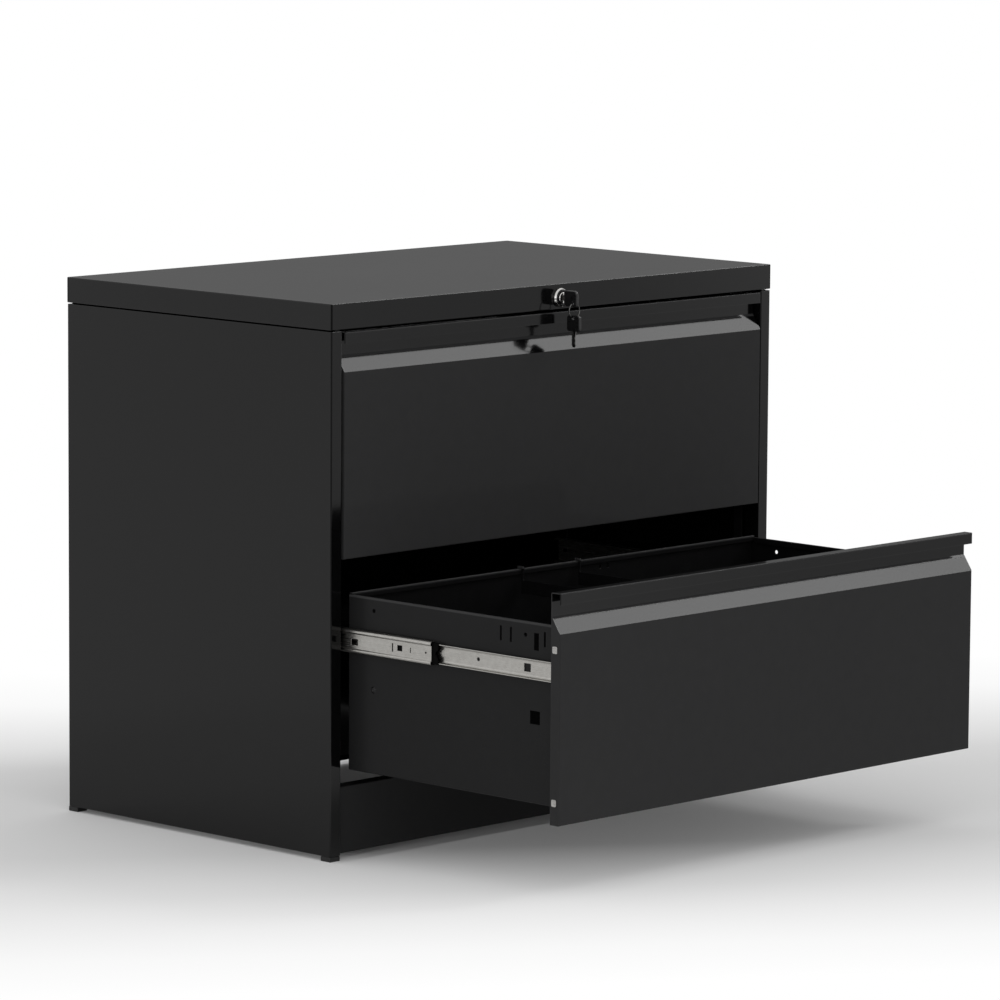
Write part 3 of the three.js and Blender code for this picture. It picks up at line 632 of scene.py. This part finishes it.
# Fixing clips on the returns of the fronts, and stop bosses on the drawer walls, in millimetres
FRONT_PLACES = {"upper": (-62.55, 394.9), "lower": (-446.55, 97.9)}
CLIP_FACE = 403.3
CLIP_SETBACK = 8.7
CLIP_RISES = {"high": 222.4, "low": 28.6}
CLIP_SIZE = (8.0, 9.0)
CLIP_CORNER = 1.8
CLIP_THICKNESS = 0.8
CLIP_STEPS = ((0.3, 0.0), (1.1, 0.0), (0.5, -0.3))
BOSS_FACE = 392.8
BOSS_SETBACK = 339.6
BOSS_RISE = 131.0
BOSS_RADIUS = 4.6
BOSS_FOOT = 0.25
BOSS_STEPS = ((0.5, 0.15), (0.9, 0.8), (0.8, 0.45), (0.5, 0.0), (0.5, -0.7))


def step_inward(mesh, steps):
    """Insets the outer face of a plate step by step, raising or sinking it."""
    crown = [face for face in mesh.faces if face.normal.z > LEVEL_FACE]
    for inward, rise in steps:
        bmesh.ops.inset_region(mesh, faces=crown, thickness=inward, depth=rise)


def fixing_clip(side, y, z):
    """A pressed tab with rounded corners and a shallow tray."""
    mesh = bmesh.new()
    rounded_sheet(mesh, *CLIP_SIZE, CLIP_CORNER, segments=4)
    thicken(mesh, CLIP_THICKNESS)
    step_inward(mesh, CLIP_STEPS)
    stand(mesh, side, (side * CLIP_FACE, y, z))
    return mesh


def stop_boss(side, y, z):
    """A round boss with a soft shoulder and a sunk centre."""
    mesh = bmesh.new()
    bmesh.ops.create_circle(mesh, cap_ends=True, segments=24, radius=BOSS_RADIUS)
    thicken(mesh, BOSS_FOOT)
    step_inward(mesh, BOSS_STEPS)
    stand(mesh, side, (side * BOSS_FACE, y, z))
    return mesh


for level, (face_y, lower_z) in FRONT_PLACES.items():
    body = level + "_drawer"
    # The upper drawer's clips take the darkened zinc, painted shade for their shadowed gap
    clip_finish = fitting_zinc if level == "lower" else painted_shade_zinc
    for hand, side in (("left", -1.0), ("right", 1.0)):
        for height, rise in CLIP_RISES.items():
            clip = fixing_clip(side, face_y + CLIP_SETBACK, lower_z + rise)
            piece(f"{level}_{hand}_{height}_clip", clip, body, clip_finish)
        boss = stop_boss(side, face_y + BOSS_SETBACK, lower_z + BOSS_RISE)
        piece(f"{level}_{hand}_stop_boss", boss, body, cabinet_black)

# Pale floor, in metres. It goes to plain white in front of the cabinet and behind it; between, a
# grey band of painted shade runs across the view, lifted by a faint painted light, and the floor is
# painted darker toward the front right. It keeps its shade under the carcass, with a fainter
# painted light there, and shows a painted grey in reflections where it lies far ahead.
FLOOR_SIZE = 120.0
FLOOR_ACROSS = (0.7203, 0.6937, 0.0)
FLOOR_ALONG = (0.6937, -0.7203, 0.0)
FLOOR_REACH = 1.5
FLOOR_WHITE = (
    (-1.5, 1.0), (-1.05, 1.0), (-0.84, 0.83), (-0.48, 0.31), (-0.2, 0.09), (0.1, 0.08),
    (0.3, 0.08), (0.45, 0.14), (0.72, 0.48), (1.0, 0.86), (1.3, 1.0),
)
FLOOR_SLANT = (0.15, -0.10)
SLANT_SPAN = (-0.7, 0.7)
FOOTPRINT_EDGES = ((0.345, 0.432), (0.261, 0.263))
FOOTPRINT_PAINTED_LIGHT = 0.02
FLOOR_PAINTED_SHADE_SPAN = (0.3, 1.4)
FLOOR_SHADES = ((0.63, 0.63, 0.632), (0.77, 0.77, 0.77))
FLOOR_CLOUD_SCALE = 1.4
FLOOR_CLOUD = 0.06
FLOOR_AHEAD = (-1.8, -1.3)
MIRRORED_SHADES = ((1.0, 1.0, 1.0), (0.32, 0.32, 0.32))


def lay_floor():
    finish = Finish("studio_floor")
    depth = finish.vectors("DOT_PRODUCT", finish.place(), FLOOR_ACROSS, "Value")
    aside = finish.vectors("DOT_PRODUCT", finish.place(), FLOOR_ALONG, "Value")
    # The band across the view is painted shade; its least whiteness is a faint painted light
    slant = aside.ranged(*SLANT_SPAN, *FLOOR_SLANT)
    stops = [((place + FLOOR_REACH) / (2 * FLOOR_REACH), shade) for place, shade in FLOOR_WHITE]
    white = finish.node("ShaderNodeValToRGB", {"stops": stops}, {
        "Fac": (depth + slant) * (0.5 / FLOOR_REACH) + 0.5,
    }, "Color")
    sheltered = 1.0
    for axis, (inner, outer) in zip("XY", FOOTPRINT_EDGES):
        sheltered = sheltered * finish.off_middle(axis).ranged(inner, outer, 1.0, 0.0)
    # The floor is painted darker toward the front right: painted shade
    clear_of_painted_shade = aside.ranged(*FLOOR_PAINTED_SHADE_SPAN, 1.0, 0.0, smooth=True)
    cloud = finish.noise(FLOOR_CLOUD_SCALE, detail=3.0)
    patches = finish.spread(cloud, -FLOOR_CLOUD, FLOOR_CLOUD)
    shade = finish.blend((clear_of_painted_shade + patches).clamp(), *FLOOR_SHADES)
    matt = finish.node("ShaderNodeBsdfDiffuse", {}, {"Color": shade})
    # Reflections see the floor far ahead as a painted grey: a painted reflection
    ahead = depth.ranged(*FLOOR_AHEAD, 1.0, 0.0, smooth=True)
    mirrored = finish.node("ShaderNodeLightPath", output="Is Glossy Ray") * ahead
    bright = finish.node("ShaderNodeEmission", {}, {
        "Color": finish.blend(mirrored, *MIRRORED_SHADES), "Strength": 1.0,
    })
    # Under the carcass only a fainter painted light is added to the floor's own shade
    whiteness = white * (1 - sheltered) + FOOTPRINT_PAINTED_LIGHT * sheltered
    surface = finish.node("ShaderNodeMixShader", {}, {
        0: whiteness * finish.seen(), 1: matt, 2: bright,
    })
    finish.node("ShaderNodeOutputMaterial", {}, {"Surface": surface})
    mesh = bmesh.new()
    bmesh.ops.create_grid(mesh, x_segments=1, y_segments=1, size=FLOOR_SIZE / 2)
    data = bpy.data.meshes.new("floor")
    mesh.to_mesh(data)
    mesh.free()
    floor = bpy.data.objects.new("floor", data)
    bpy.context.collection.objects.link(floor)
    data.materials.append(finish.material)


lay_floor()

# Studio: a soft sky, dim behind the cabinet and bright overhead and toward the viewer
TOWARD_VIEWER = (-0.72, -0.69, 0.0)
VIEWER_SPAN = (-0.8, 0.5)
OVERHEAD_SPAN = (0.05, 0.5)
SKY_BEHIND = 0.168
SKY_VIEWER = 1.5
SKY_OVERHEAD = 0.84


def light_world():
    world = bpy.data.worlds.new("studio")
    bpy.context.scene.world = world
    world.use_nodes = True
    sky = Finish("studio", world.node_tree)
    direction = sky.node("ShaderNodeTexCoord", output="Generated")
    up = sky.along(direction, "Z")
    toward = sky.vectors("DOT_PRODUCT", direction, TOWARD_VIEWER, "Value")
    low = toward.ranged(*VIEWER_SPAN, SKY_BEHIND, SKY_VIEWER, smooth=True)
    lift = up.ranged(*OVERHEAD_SPAN, smooth=True)
    strength = low * (1 - lift) + SKY_OVERHEAD * lift
    shell = sky.node("ShaderNodeBackground", {}, {
        "Color": (1.0, 1.0, 1.0, 1.0), "Strength": strength,
    })
    sky.node("ShaderNodeOutputWorld", {}, {"Surface": shell})


light_world()

# Key lamp: the direction toward it, how broad it looks, and its strength
KEY_TOWARD = Vector((0.714, -0.373, 0.592))
KEY_SPREAD = math.radians(12.0)
KEY_STRENGTH = 0.44


def soft_key():
    """A broad far lamp on the right, in line with what the finger-pull bevels mirror."""
    light = bpy.data.lights.new("key_light", "SUN")
    light.energy = KEY_STRENGTH
    light.angle = KEY_SPREAD
    lamp = bpy.data.objects.new("key_light", light)
    lamp.matrix_world = KEY_TOWARD.to_track_quat("Z", "Y").to_matrix().to_4x4()
    bpy.context.collection.objects.link(lamp)


soft_key()

# Camera at the photograph's place
CAMERA_PLACE = Vector((-5.47859, -5.22872, 1.43557))
CAMERA_TARGET = Vector((0.15098, 0.19305, 0.39749))
CAMERA_ROLL = math.radians(0.39)
CAMERA_LENS = 204.2
CAMERA_SENSOR = 36.0
CAMERA_REACH = 200.0


def set_camera():
    data = bpy.data.cameras.new("camera")
    data.sensor_fit = "HORIZONTAL"
    data.sensor_width = CAMERA_SENSOR
    data.lens = CAMERA_LENS
    data.clip_end = CAMERA_REACH
    camera = bpy.data.objects.new("camera", data)
    turn = (CAMERA_PLACE - CAMERA_TARGET).to_track_quat("Z", "Y").to_matrix().to_4x4()
    roll = Matrix.Rotation(CAMERA_ROLL, 4, "Z")
    camera.matrix_world = Matrix.Translation(CAMERA_PLACE) @ turn @ roll
    bpy.context.collection.objects.link(camera)
    bpy.context.scene.camera = camera


set_camera()

bpy.context.scene.view_settings.view_transform = "Standard"
